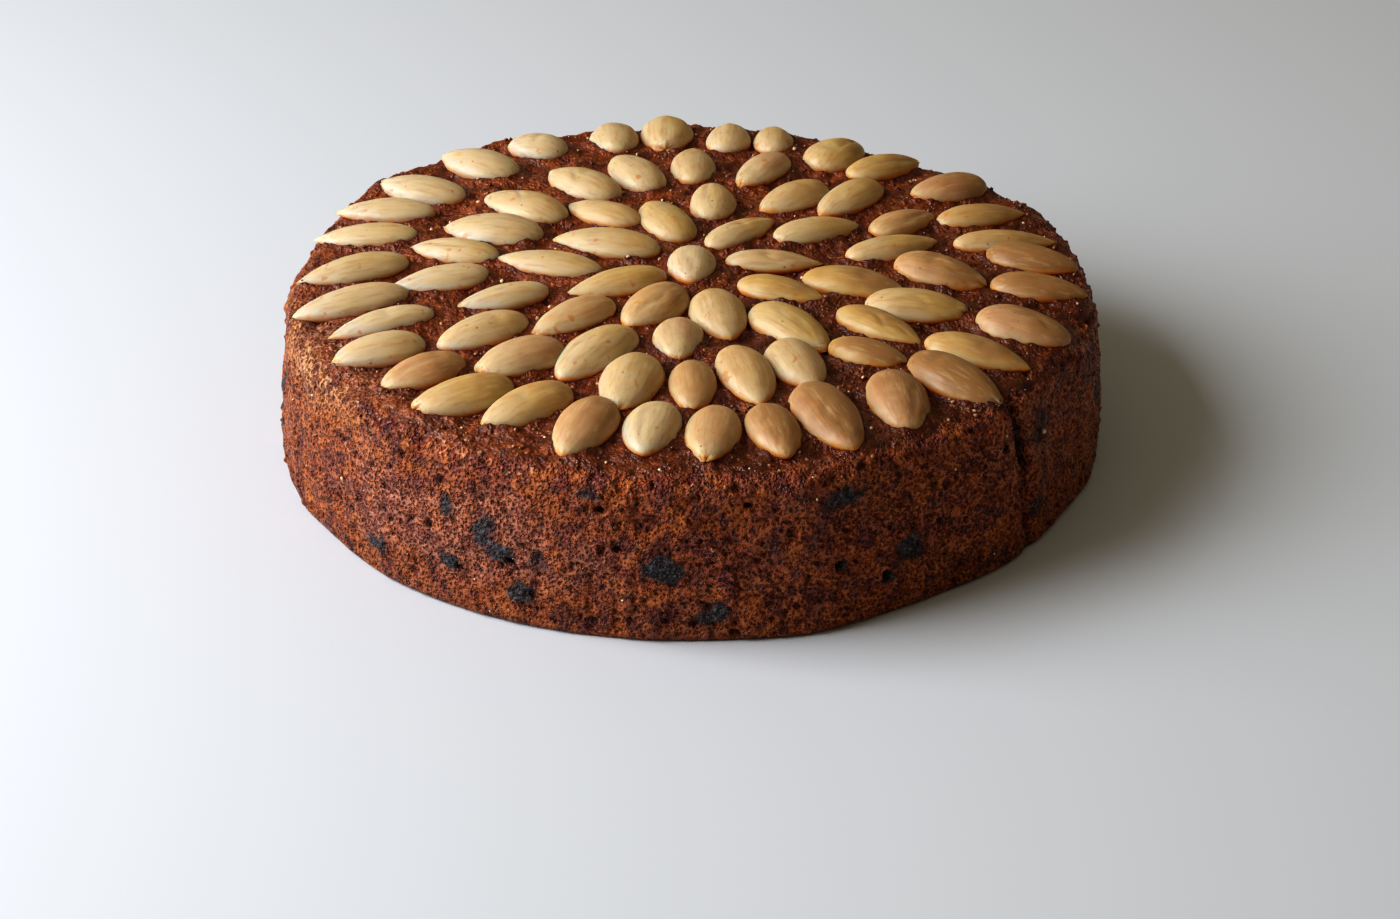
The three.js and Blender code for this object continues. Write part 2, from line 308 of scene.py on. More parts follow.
# Colours of the side
CRUMB_DARK, CRUMB_LIGHT = 0x823620, 0xA44E1E
ORANGE_PATCH = 0xB65E24
PURPLE_PATCH = 0x5C2224
DULL_ZONE = 0x7E4638
# warmer brown; at the foot and low on the right it is partly painted bounce light
WARM_BROWN = 0xA8540F
# painted sheen on the side
SHEEN_PAINT = 0x8C4E3C
# painted light on the lit left of the side
PAINTED_LIGHT_GOLD = 0xB07444
# The ridges' own colour, then their painted sheen and their painted light
RIDGES, RIDGES_IN_SHEEN, RIDGES_IN_PAINTED_LIGHT = 0xA86238, 0xB87E68, 0xD2A680
RIDGES_DARK, RIDGES_LIGHT = 0x80402E, 0xC47C40
ROUND_FRUIT = 0x46343A
# painted shade at the foot
FOOT_SHADE = 0x3C1408
PEEL = 0xA85C22
# the bluish grey is partly the fruit's dusty skin, partly painted sheen
FRUIT_BLACK, FRUIT_BLUE = 0x0C0C10, 0x4E5A66
# painted shade in the side's pores and hollows
SIDE_PIT_SHADE = 0x300D07
# Colours of the crust
CRUST_DARK, CRUST_LIGHT = 0x66270E, 0x92481C
# lighter crowns: partly the crust's own colour, partly painted highlight
CRUST_CROWNS = 0xA86A34
# painted shade on the crust
CRUST_PAINTED_SHADE = 0x3C1604
# painted sheen on the edge of the crust
CRUST_SHEEN = 0xCCA08A
# painted shade in the crust's pits and crevices
CRUST_PIT_SHADE = 0x260A05
RED_RIM = 0x681A08
# syrup round the almonds, with painted contact shade
SYRUP_AND_SHADE = 0x6A2206
# GRAIN_PALE: sugar, partly standing in for glints as painted highlight
GRAIN_DARK, GRAIN_LIGHT, GRAIN_PALE = 0x4A1A0C, 0x9A603C, 0xDCC0A0
# Colours of the almonds
# NUT_PALE, reached on the lit left, is partly painted light; NUT_BROWN, reached on the shaded right, is
# partly painted shade
NUT_CREAM, NUT_PALE = 0xC0AA88, 0xBEB2A0
NUT_TAN, NUT_PINK, NUT_BROWN = 0xB6955A, 0xB28A66, 0x966F46
STREAK_DARK, STREAK_LIGHT = 0xA4784E, 0xCCB48C
AMBER_CLOUD = 0xB4722A
NUT_SPECK = 0x8A4A1C
NUT_TIP = 0xBEB698
NUT_SPLIT = 0x8A5A30
# partly caramel, partly painted contact shade and warm bounce light from the crust
NUT_FOOT = 0xCC7A20
FLOOR_GREY = 0xCACBD2


# Random numbers and noise

AXIS_PRIMES = (73856093, 19349663, 83492791)
SALT_PRIME = 2654435761
STIRRER = 0x2C1B3C6D
LOW_BITS = 0xFFFFFFFF
CELL_SHIFT = 5000  # more than any cell number, so that none is below 0


def hashed(cells, salt):
    """A number from 0 to 1 for each row of three whole numbers, set by the row and the salt alone."""
    shifted = (cells.astype(np.int64) + CELL_SHIFT).astype(np.uint64)
    h = np.uint64((salt * SALT_PRIME) % 2**32)
    for axis, prime in enumerate(AXIS_PRIMES):
        h = h ^ shifted[..., axis] * np.uint64(prime)
    h = h & np.uint64(LOW_BITS)
    for _ in range(2):
        h ^= h >> np.uint64(15)
        h = (h * np.uint64(STIRRER)) & np.uint64(LOW_BITS)
        h ^= h >> np.uint64(12)
    return h.astype(np.float64) / 2**32


def noise(points, size, salt):
    """Smooth random values from -1 to 1 that change over about size millimetres."""
    scaled = points / size
    cell = np.floor(scaled)
    t = scaled - cell
    t = t * t * (3 - 2 * t)
    total = np.zeros(len(points))
    for corner in itertools.product((0, 1), repeat=3):
        weight = np.prod(np.where(corner, t, 1 - t), axis=1)
        total += weight * hashed(cell + np.array(corner), salt)
    return total * 2 - 1


def layered(points, size, layers, salt):
    """Noise with layers of ever finer noise on top of it."""
    return sum(noise(points, size / 2**k, salt + k) / 1.8**k for k in range(layers))


def pits(points, size, smallest, largest, salt):
    """How deep in a pit each point lies, from 0 to 1. Each cube of the given size holds one pit."""
    cell = np.floor(points / size)
    deepest = np.zeros(len(points))
    for step in itertools.product((-1, 0, 1), repeat=3):
        home = cell + np.array(step)
        offset = np.stack([hashed(home, salt + k) for k in range(3)], axis=1)
        radius = size * (smallest + (largest - smallest) * hashed(home, salt + 3) ** 2)
        gap = np.linalg.norm(points - (home + offset) * size, axis=1) / radius
        deepest = np.maximum(deepest, np.clip(1 - gap * gap, 0, 1))
    return deepest


def wandered(points, size, reach, salt):
    """The points moved about at random, so that what is drawn at them has an uneven outline."""
    return points + reach * np.stack([noise(points, size, salt + k) for k in range(3)], axis=1)


def smoothstep(low, high, value):
    t = np.clip((value - low) / (high - low), 0, 1)
    return t * t * (3 - 2 * t)


def bell(offset, spread):
    return np.exp(-((offset / spread) ** 2))


def apart(a, b):
    """Shortest way round from one bearing to another."""
    return np.mod(a - b + 180, 360) - 180


# The form of the body, the same as its solid's

def side_radius(bearing, share):
    """Radius of the side at a share of its height."""
    radius = BASE_RADIUS - TAPER * share + BULGE * np.sin(np.pi * share)
    for place, spread, depth, at_foot in DENTS:
        left = at_foot + (1 - at_foot) * share
        radius = radius + depth * left * bell(apart(bearing, place), spread)
    crease = CREASE_FOOT + (CREASE_TOP - CREASE_FOOT) * share
    crease_left = CREASE_LEFT + (1 - CREASE_LEFT) * share
    return radius - CREASE_DEPTH * crease_left * bell(apart(bearing, crease), CREASE_HALF_WIDTH)


def crust_height(x, y):
    r = np.hypot(x, y)
    bearing = np.degrees(np.arctan2(y, x))
    edge = side_radius(bearing, 1)
    phase_x, phase_y, phase_both = MOUND_PHASES
    z = SIDE_HEIGHT + DOME * (1 - (r / edge) ** 2)
    z = z + MOUND * np.sin(x / MOUND_LENGTH + phase_x) * np.cos(y / MOUND_LENGTH + phase_y)
    z = z + MOUND * SLANTED_MOUND * np.sin((x + y) / MOUND_LENGTH + phase_both)
    for place, spread, height in LIPS:
        z = z + height * bell(apart(bearing, place), spread) * bell(edge - r - LIP_INSET, LIP_WIDTH)
    over = np.clip((r - (edge - SHOULDER_OUT)) / SHOULDER_OUT, 0, 1)
    return z - SHOULDER_DOWN * (1 - np.sqrt(1 - over * over))


def towards_shade(x, y):
    """How far a place of the top lies towards the front right, from -1 to 1 or so. Colour is painted
    darker there as shade; the light comes from the left.
    """
    return (x - SHADE_TO_FRONT * y) / BASE_RADIUS


# The skin of the body, ring by ring

def around(count):
    return np.arange(count) * 360 / count


def ring_at(radius, bearing, z):
    angle = np.radians(bearing)
    return np.stack([radius * np.cos(angle), radius * np.sin(angle), z + 0 * angle], axis=1)


def crust_ring(radius, bearing):
    ring = ring_at(radius, bearing, 0)
    ring[:, 2] = crust_height(ring[:, 0], ring[:, 1])
    return ring


def underside_rings():
    """Rings from the middle of the underside out to just inside its edge."""
    rings = []
    steps = int(BASE_RADIUS / UNDERSIDE_SPACING)
    for k in range(1, steps):
        share = k / steps
        bearing = around(int(SIDE_SECTORS * share**2) + UNDERSIDE_MORE_SECTORS)
        rings.append(ring_at((side_radius(bearing, 0) - FOOT_ROUND) * share, bearing, 0))
    return rings


def side_rings():
    """Rings from the edge of the underside, round the foot and up the side."""
    bearing = around(SIDE_SECTORS)
    foot = side_radius(bearing, 0) - FOOT_ROUND
    rings = [ring_at(foot, bearing, 0)]
    for k in range(1, FOOT_RINGS):
        angle = k / FOOT_RINGS * math.pi / 2
        up = FOOT_ROUND * (1 - math.cos(angle))
        rings.append(ring_at(foot + FOOT_ROUND * math.sin(angle), bearing, up))
    side_top = SIDE_HEIGHT - SHOULDER_DOWN
    for k in range(SIDE_RINGS + 1):
        share = k / SIDE_RINGS
        up = FOOT_ROUND + (side_top - FOOT_ROUND) * share
        rings.append(ring_at(side_radius(bearing, share), bearing, up))
    return rings


def crust_rings():
    """Rings over the soft edge of the top and in towards its middle."""
    rings = []
    bearing = around(SIDE_SECTORS)
    for k in range(1, SHOULDER_RINGS + 1):
        inset = SHOULDER_OUT * (1 - math.cos(k / SHOULDER_RINGS * math.pi / 2))
        rings.append(crust_ring(side_radius(bearing, 1) - inset, bearing))
    reach = BASE_RADIUS - TAPER - SHOULDER_OUT
    steps = int(reach / TOP_SPACING)
    for k in range(1, steps):
        share = 1 - k / steps
        bearing = around(max(FEWEST_SECTORS, round(2 * math.pi * reach * share / TOP_SPACING)))
        rings.append(crust_ring((side_radius(bearing, 1) - SHOULDER_OUT) * share, bearing))
    return rings


def join_rings(lower_start, lower_count, upper_start, upper_count):
    """Triangles between two rings that both start at bearing 0."""
    triangles = []
    a = b = 0
    while a < lower_count or b < upper_count:
        low, high = lower_start + a % lower_count, upper_start + b % upper_count
        if b >= upper_count or (a < lower_count and (a + 1) / lower_count <= (b + 1) / upper_count):
            a += 1
            triangles.append((low, lower_start + a % lower_count, high))
        else:
            b += 1
            triangles.append((low, upper_start + b % upper_count, high))
    return triangles


def skin(rings, first, last):
    """Points and triangles of a closed skin over rings, with one point at each end."""
    points = [np.array([first])] + rings + [np.array([last])]
    starts = [int(n) for n in np.cumsum([0] + [len(p) for p in points])]
    bottom, top = len(rings[0]), len(rings[-1])
    triangles = [(0, 1 + (k + 1) % bottom, 1 + k) for k in range(bottom)]
    for k in range(1, len(rings)):
        triangles += join_rings(starts[k], len(rings[k - 1]), starts[k + 1], len(rings[k]))
    tip, start = starts[-2], starts[-3]
    triangles += [(tip, start + k, start + (k + 1) % top) for k in range(top)]
    return np.concatenate(points), np.array(triangles)


def normals_of(points, triangles):
    a, b, c = (points[triangles[:, k]] for k in range(3))
    face = np.cross(b - a, c - a)
    total = np.zeros_like(points)
    for k in range(3):
        np.add.at(total, triangles[:, k], face)
    return total / np.maximum(np.linalg.norm(total, axis=1, keepdims=True), TINY)


# Pieces

def make_piece(name, points, triangles, material, replaced, fields, normals=None):
    """A smooth mesh object from points in millimetres, with the named fields kept at its points."""
    mesh = bpy.data.meshes.new(name)
    mesh.from_pydata((points * MM).tolist(), [], triangles.tolist())
    mesh.polygons.foreach_set("use_smooth", [True] * len(mesh.polygons))
    for key, values in fields.items():
        flat = np.asarray(values, np.float32).ravel()
        if np.ndim(values) == 1:
            mesh.attributes.new(key, "FLOAT", "POINT").data.foreach_set("value", flat)
        else:
            mesh.attributes.new(key, "FLOAT_VECTOR", "POINT").data.foreach_set("vector", flat)
    if normals is not None:
        mesh.normals_split_custom_set_from_vertices(normals.tolist())
    mesh.materials.append(material)
    piece = bpy.data.objects.new(name, mesh)
    bpy.context.scene.collection.objects.link(piece)
    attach(piece, ROOT)
    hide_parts(replaced)


# Materials

def colour(code):
    """Linear red, green, blue and alpha from a screen colour such as 0xC08040."""
    parts = [(code >> shift & 255) / 255 for shift in (16, 8, 0)]
    return (*[p / 12.92 if p <= 0.04045 else ((p + 0.055) / 1.055) ** 2.4 for p in parts], 1)


class Shader:
    """A material's nodes. A socket given as an input is linked to it, and anything else is set on it."""

    def __init__(self, name):
        self.material = bpy.data.materials.new(name)
        self.material.use_nodes = True
        self.tree = self.material.node_tree
        self.surface = self.tree.nodes["Principled BSDF"]

    def feed(self, socket, value):
        if isinstance(value, bpy.types.NodeSocket):
            self.tree.links.new(value, socket)
        else:
            socket.default_value = value

    def add(self, kind, inputs, **settings):
        made = self.tree.nodes.new("ShaderNode" + kind)
        for key, value in settings.items():
            setattr(made, key, value)
        for key, value in inputs.items():
            self.feed(made.inputs[key], value)
        return made

    def millimetres(self):
        place = self.add("TexCoord", {}).outputs["Object"]
        return self.add("VectorMath", {0: place, "Scale": 1 / MM}, operation="SCALE").outputs[0]

    def field(self, name, output="Fac"):
        """A value that make_piece() kept at the points."""
        return self.add("Attribute", {}, attribute_name=name, attribute_type="GEOMETRY").outputs[output]

    def noise(self, place, size, detail=2.0, roughness=0.5):
        settings = {"Vector": place, "Scale": 1 / size, "Detail": detail, "Roughness": roughness}
        return self.add("TexNoise", settings).outputs["Fac"]

    def cells(self, place, size):
        return self.add("TexVoronoi", {"Vector": place, "Scale": 1 / size}).outputs["Distance"]

    def between(self, value, low, high, to_low=0.0, to_high=1.0):
        """The value carried smoothly from one range to another, and kept inside it."""
        inputs = {"Value": value, "From Min": low, "From Max": high, "To Min": to_low, "To Max": to_high}
        return self.add("MapRange", inputs, interpolation_type="SMOOTHSTEP").outputs["Result"]

    def math(self, operation, first, second):
        return self.add("Math", {0: first, 1: second}, operation=operation).outputs[0]

    def plus(self, first, second):
        return self.math("ADD", first, second)

    def minus(self, first, second):
        return self.math("SUBTRACT", first, second)

    def times(self, first, second):
        return self.math("MULTIPLY", first, second)

    def blend(self, share, first, second):
        return self.add("Mix", {0: share, 2: first, 3: second}, data_type="FLOAT").outputs[0]

    def mix(self, share, first, second):
        """A share of the second colour over the first. Each is a socket or a screen colour."""
        first, second = (colour(c) if isinstance(c, int) else c for c in (first, second))
        return self.add("Mix", {0: share, 6: first, 7: second}, data_type="RGBA").outputs[2]

    def stretched(self, place, along):
        """The place with its x axis scaled, so that what is drawn there runs along the almond."""
        return self.add("VectorMath", {0: place, 1: (along, 1.0, 1.0)}, operation="MULTIPLY").outputs[0]

    def jitter(self, place, size, reach):
        """The place moved about at random, so that cells lose their even look."""
        settings = {"Vector": place, "Scale": 1 / size, "Detail": 1.0}
        wander = self.add("TexNoise", settings).outputs["Color"]
        centred = self.add("VectorMath", {0: wander, 1: (0.5, 0.5, 0.5)}, operation="SUBTRACT").outputs[0]
        moved = self.add("VectorMath", {0: centred, "Scale": reach}, operation="SCALE").outputs[0]
        return self.add("VectorMath", {0: place, 1: moved}, operation="ADD").outputs[0]

    def bump(self, height, distance):
        return self.add("Bump", {"Height": height, "Distance": distance * MM}).outputs["Normal"]

    def finish(self, **inputs):
        for key, value in inputs.items():
            self.feed(self.surface.inputs[key.replace("_", " ")], value)
        return self.material


def side_colour(s, place, patch, lump):
    """Brown crumb in patches, with lighter ridges between its pores, painted light and painted sheen
    where the light falls, and painted shade at the foot.
    """
    wide = s.noise(place, size=14, detail=3.0, roughness=0.6)
    zone = s.noise(place, size=8, detail=2.0, roughness=0.6)
    painted_sheen, golden = s.field("painted_sheen"), s.field("golden")

    side = s.mix(s.between(wide, 0.38, 0.62), CRUMB_DARK, CRUMB_LIGHT)
    side = s.mix(s.between(patch, 0.51, 0.64, to_high=0.8), side, ORANGE_PATCH)
    side = s.mix(s.between(patch, 0.48, 0.37, to_high=0.8), side, PURPLE_PATCH)
    side = s.mix(s.between(zone, 0.50, 0.62, to_high=0.5), side, DULL_ZONE)
    side = s.mix(s.times(s.field("warm"), s.between(patch, 0.35, 0.6)), side, WARM_BROWN)
    # Painted sheen on the side
    side = s.mix(s.times(painted_sheen, 0.5), side, SHEEN_PAINT)
    # Painted light on the lit stretch of the side
    side = s.mix(s.times(golden, s.between(patch, 0.3, 0.6)), side, PAINTED_LIGHT_GOLD)

    # Painted sheen and painted light on the ridges
    ridges = s.mix(painted_sheen, RIDGES, RIDGES_IN_SHEEN)
    ridges = s.mix(golden, ridges, RIDGES_IN_PAINTED_LIGHT)
    ridges = s.mix(s.between(patch, 0.49, 0.40, to_high=0.75), ridges, RIDGES_DARK)
    ridges = s.mix(s.between(patch, 0.53, 0.62, to_high=0.7), ridges, RIDGES_LIGHT)
    side = s.mix(s.between(lump, 0.48, 0.64, to_high=0.76), side, ridges)

    side = s.mix(s.between(s.field("fruit"), 0.1, 0.7, to_high=0.5), side, ROUND_FRUIT)
    # Painted shade at the foot
    return s.mix(s.field("foot"), side, FOOT_SHADE)


def crust_colour(s, patch, lump, crown):
    """Dark crust, its crowns lighter, partly as painted highlight, with painted shade towards the front
    right and painted sheen on its left edge where the fields say so.
    """
    top = s.mix(s.between(patch, 0.35, 0.65), CRUST_DARK, CRUST_LIGHT)
    # Lighter crowns: partly the crust's own colour, partly painted highlight
    top = s.mix(s.times(crown, 0.25), top, CRUST_CROWNS)
    # Painted shade towards the front right and at one spot
    top = s.mix(s.field("crust_shade"), top, CRUST_PAINTED_SHADE)
    sheened_edge = s.times(s.field("edge_sheen"), s.between(lump, 0.50, 0.62, to_high=0.5))
    return s.mix(sheened_edge, top, CRUST_SHEEN)


def with_fruit(s, place, lump, base):
    """The colour with dried fruit over it, ragged at its edge and mottled bluish grey, partly the fruit's
    own dusty skin and partly painted sheen.
    """
    ragged = s.plus(s.field("fruit"), s.times(lump, 1.3))
    mottle = s.noise(place, size=1.1, detail=2.0, roughness=0.6)
    fruit = s.mix(s.between(mottle, 0.44, 0.68), FRUIT_BLACK, FRUIT_BLUE)
    return s.mix(s.times(s.between(ragged, 0.7, 1.45), 0.88), base, fruit)


def crumb_finish():
    """One finish for the side and the crust, because they run into each other without a line."""
    s = Shader("crumb")
    place = s.millimetres()
    crust = s.field("crust")
    patch = s.noise(place, size=4.5, detail=3.0, roughness=0.6)
    pore = s.cells(s.jitter(place, size=0.7, reach=0.8), size=0.88)
    lump = s.blend(0.5, s.noise(place, size=0.74, detail=2.0, roughness=0.55), pore)
    granule = s.cells(s.jitter(place, size=1.6, reach=2.0), size=2.2)
    crown = s.between(granule, 0.5, 0.0)

    base = s.mix(crust, side_colour(s, place, patch, lump), crust_colour(s, patch, lump, crown))
    base = s.mix(s.times(s.field("rim"), s.between(patch, 0.6, 0.4)), base, RED_RIM)
    # Syrup and painted contact shade round each almond
    base = s.mix(s.field("syrup_and_shade"), base, SYRUP_AND_SHADE)
    peel = s.between(s.plus(s.field("peel"), s.times(patch, 0.5)), 0.6, 0.85)
    base = s.mix(s.times(peel, 0.75), base, PEEL)
    # Painted shade: dark in the crumb's hollows, crevices, pores, the groove and round each almond
    torn = s.between(lump, 0.44, 0.32)
    crevice = s.between(granule, 0.35, 0.75, to_high=0.55)
    pit = s.math("MAXIMUM", s.blend(crust, torn, crevice), s.field("pit"))
    base = s.mix(s.times(pit, 0.9), base, s.mix(crust, SIDE_PIT_SHADE, CRUST_PIT_SHADE))
    base = with_fruit(s, place, lump, base)

    side_relief = s.between(lump, 0.28, 0.62)
    crust_relief = s.plus(s.times(crown, 0.6), s.times(lump, 0.8))
    dull = s.between(s.noise(place, size=3.0), 0.4, 0.65, to_low=0.55, to_high=0.36)
    return s.finish(
        Base_Color=base,
        Roughness=s.minus(dull, s.times(crust, 0.08)),
        Specular_IOR_Level=0.45,
        Normal=s.bump(s.blend(crust, side_relief, crust_relief), distance=0.75),
    )


def almond_finish():
    """Cream to tan, with fine streaks along each almond, specks, and an amber foot in the crust. The tone
    carries painted light and painted shade, and the foot is partly painted shade and bounce light.
    """
    s = Shader("almond")
    place = s.field("nut", "Vector")
    streak = s.noise(s.stretched(place, 0.14), size=1.0)
    cloud = s.noise(place, size=4.5)
    # Painted light and shade ride on the tone: pale on the lit left, brown on the shaded right
    browning_and_shade = s.plus(s.field("tone"), s.times(s.minus(cloud, 0.5), 0.8))

    base = s.mix(s.between(browning_and_shade, 0.0, 1.0), NUT_CREAM, s.mix(s.field("pink"), NUT_TAN, NUT_PINK))
    base = s.mix(s.between(browning_and_shade, 0.0, -0.6), base, NUT_PALE)
    base = s.mix(s.between(browning_and_shade, 0.8, 1.5), base, NUT_BROWN)
    base = s.mix(s.between(streak, 0.50, 0.70, to_high=0.35), base, STREAK_DARK)
    base = s.mix(s.between(streak, 0.48, 0.26, to_high=0.3), base, STREAK_LIGHT)
    amber = s.noise(place, size=2.6, detail=1.0)
    base = s.mix(s.between(amber, 0.68, 0.76, to_high=0.6), base, AMBER_CLOUD)
    speck = s.between(s.cells(place, size=3.2), 0.06, 0.12, to_low=1.0, to_high=0.0)
    speck = s.times(speck, s.between(s.noise(place, size=6.0, detail=0.0), 0.55, 0.62))
    base = s.mix(s.times(speck, 0.75), base, NUT_SPECK)
    base = s.mix(s.field("tip"), base, NUT_TIP)
    frayed = s.noise(s.stretched(place, 0.25), size=0.55, detail=1.0)
    split = s.times(s.between(frayed, 0.54, 0.62), s.field("chip"))
    base = s.mix(s.times(split, 0.6), base, NUT_SPLIT)
    # Amber foot: partly caramel, partly painted contact shade and bounce light
    base = s.mix(s.field("foot"), base, NUT_FOOT)
    return s.finish(
        Base_Color=base,
        Roughness=s.between(cloud, 0.3, 0.7, to_low=0.42, to_high=0.54),
        Specular_IOR_Level=0.42,
        Normal=s.bump(s.minus(streak, split), distance=0.12),
        Subsurface_Weight=0.85,
        Subsurface_Radius=(1.0, 0.5, 0.16),
        Subsurface_Scale=6 * MM,
    )


def grain_finish():
    s = Shader("grain")
    speckle = s.noise(s.millimetres(), size=1.5, detail=0.0)
    base = s.mix(s.between(speckle, 0.35, 0.65), GRAIN_DARK, GRAIN_LIGHT)
    # Pale specks: sugar, partly standing in for glints as painted highlight
    base = s.mix(s.between(speckle, 0.64, 0.70), base, GRAIN_PALE)
    return s.finish(Base_Color=base, Roughness=0.22)


def floor_finish():
    return Shader("floor").finish(Base_Color=colour(FLOOR_GREY), Roughness=0.7)


# Almonds

def almond_shells(node):
    """The almonds of a solid, as arrays of corner points. They part where an edge is hollow."""
    mesh = bmesh.new()
    mesh.from_mesh(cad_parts[node].data)
    bmesh.ops.remove_doubles(mesh, verts=mesh.verts, dist=SAME_POINT)
    hollow = -math.radians(HOLLOW_EDGE)
    unseen = set(mesh.faces)
    shells = []
    for start in list(mesh.faces):
        if start not in unseen:
            continue
        unseen.discard(start)
        reached, queue = [start], [start]
        while queue:
            for edge in queue.pop().edges:
                if len(edge.link_faces) != 2 or edge.calc_face_angle_signed() < hollow:
                    continue
                for face in edge.link_faces:
                    if face in unseen:
                        unseen.discard(face)
                        reached.append(face)
                        queue.append(face)
        corners = {v.index: v.co.copy() for face in reached for v in face.verts}
        shells.append(np.array([tuple(co) for co in corners.values()]) / MM)
    mesh.free()
    return [shell for shell in shells if np.ptp(shell, axis=0).max() > SMALLEST_ALMOND]


def almond_frame(corners):
    """Middle, axes (as rows) and sizes of an almond. Its x axis runs to the pointed end."""
    gaps = np.linalg.norm(corners[:, None] - corners[None], axis=2)
    a, b = np.unravel_index(gaps.argmax(), gaps.shape)
    middle = (corners[a] + corners[b]) / 2
    length = gaps[a, b]
    x = (corners[b] - corners[a]) / length
    along = (corners - middle) @ x
    out = np.linalg.norm(corners - middle - np.outer(along, x), axis=1)
    if along[out.argmax()] > 0:
        x = -x
    y = np.cross((0, 0, 1), x)
    y /= np.linalg.norm(y)
    z = np.cross(x, y)
    width = np.ptp((corners - middle) @ y)
    return middle, np.array([x, y, z]), length, width


def almond_outline(t, sharpness):
    """Half width, as a share of the widest, at t from -1 at the blunt end to 1 at the pointed end."""
    back = np.clip((WIDEST_AT - t) / (1 + WIDEST_AT), 0, 1)
    forward = np.clip((t - WIDEST_AT) / (1 - WIDEST_AT), 0, 1)
    blunt_half = np.sqrt(1 - back**BLUNT_POWER)
    pointed_half = (1 - forward**POINT_POWER) ** sharpness
    return np.where(t < WIDEST_AT, blunt_half, pointed_half)


def almond_traits(random):
    """What makes one almond differ from the next. Where max() cuts a range off, some go without."""
    return SimpleNamespace(
        sharper=random.uniform(-0.02, 0.14),
        bend=random.uniform(-0.45, 0.45),
        chip=max(0.0, random.uniform(-0.3, 1.0)),
        flutes=random.integers(5, 9),
        phase=random.uniform(0, 6.28),
        furrow_at=random.uniform(60, 120),
        furrow_depth=max(0.0, random.uniform(-0.5, 0.5)),
        dimple_at=random.uniform(-0.5, 0.5),
        dimple_depth=max(0.0, random.uniform(-0.4, 0.5)),
    )


def almond_surface(length, width, traits, shift):
    """Points of an almond about its own middle, from the blunt end on, and t of each, from -1 to 1."""
    stations = -np.cos(np.linspace(0, math.pi, ALMOND_STATIONS))
    angles = np.arange(ALMOND_SIDES) * 2 * math.pi / ALMOND_SIDES
    t, angle = np.meshgrid(stations[1:-1], angles, indexing="ij")
    slim = smoothstep(PLUMP, SLIM, length / width)
    share = almond_outline(t, ROUND_POINT + (KEEN_POINT - ROUND_POINT) * slim + traits.sharper)
    y = width / 2 * share * np.cos(angle)
    z = width * THICKNESS / 2 * share * np.sign(np.sin(angle)) * np.abs(np.sin(angle)) ** RIDGE
    local = np.stack([t * length / 2, y, z], axis=2).reshape(-1, 3)
    t, angle, share = t.ravel(), angle.ravel(), share.ravel()

    swell = 1 + ALMOND_SWELL * noise(local + shift, 6, 11)
    swell += ALMOND_UNEVENNESS * noise(local + shift, 2.2, 12)
    flutes = np.sin(traits.flutes * angle + traits.phase + 1.5 * noise(local + shift, 8, 13))
    swell += ALMOND_FLUTING * flutes * smoothstep(0, 0.5, share)
    wander = FURROW_WANDER * noise(local * (1, 0, 0) + shift, 4, 15)
    off_furrow = np.degrees(angle) - traits.furrow_at - wander
    furrow = bell(off_furrow, FURROW_HALF_WIDTH)
    local[:, 2] -= traits.furrow_depth * furrow * smoothstep(-0.6, 0, t) * smoothstep(0.9, 0.5, t)
    dimple = bell(t - traits.dimple_at, DIMPLE_LENGTH) * bell(np.degrees(angle) - 90, DIMPLE_HALF_WIDTH)
    local[:, 2] -= traits.dimple_depth * dimple

    circle = [TORN_LOBES * np.cos(angle), TORN_LOBES * np.sin(angle), 0 * angle]
    round_the_tip = np.stack(circle, axis=1)
    lobe = noise(round_the_tip + shift, 1.0, 16)
    torn = smoothstep(TORN_FROM, 1.0, t) * traits.chip
    raggedness = 0.45 - 0.25 * slim
    swell += torn * (0.1 + raggedness * lobe)
    local[:, 1:] *= swell[:, None]
    local[:, 0] += smoothstep(0.88, 1.0, t) * traits.chip * 0.6 * lobe
    local[:, 1] += traits.bend * (1 - t * t)
    ends = np.array([[-length / 2, 0, 0], [length / 2 - TORN_SHORTER * traits.chip, 0, 0]])
    return np.concatenate([ends[:1], local, ends[1:]]), np.concatenate([[-1], t, [1]])


def almond_triangles():
    """The triangles of every almond, as all have the same rows of points between their two ends."""
    rows = ALMOND_STATIONS - 2
    tip = 1 + rows * ALMOND_SIDES
    triangles = []
    for k in range(ALMOND_SIDES):
        n = (k + 1) % ALMOND_SIDES
        triangles.append((0, 1 + n, 1 + k))
        for row in range(rows - 1):
            here, there = 1 + row * ALMOND_SIDES, 1 + (row + 1) * ALMOND_SIDES
            triangles.append((here + k, here + n, there + n))
            triangles.append((here + k, there + n, there + k))
        last = tip - ALMOND_SIDES
        triangles.append((last + k, last + n, tip))
    return np.array(triangles)


def almond_shade(middle, random):
    """How browned and how pink an almond is as a whole. The browning towards the front right is painted
    shade.
    """
    tone = random.uniform(-0.2, 0.25) + SHADE_BROWNING * towards_shade(middle[0], middle[1])
    tone = tone + SHADE_BROWNING_AT_RIGHT * middle[0] / BASE_RADIUS
    pink = random.uniform(0, 1) ** 2
    for bearing, distance, browned, tint in ODD_ALMONDS:
        place = ring_at(distance, np.array([bearing]), middle[2])[0]
        nearness = bell(np.linalg.norm(middle - place), ODD_ALMOND_REACH)
        tone += browned * nearness
        pink += (tint - pink) * nearness
    return tone, pink


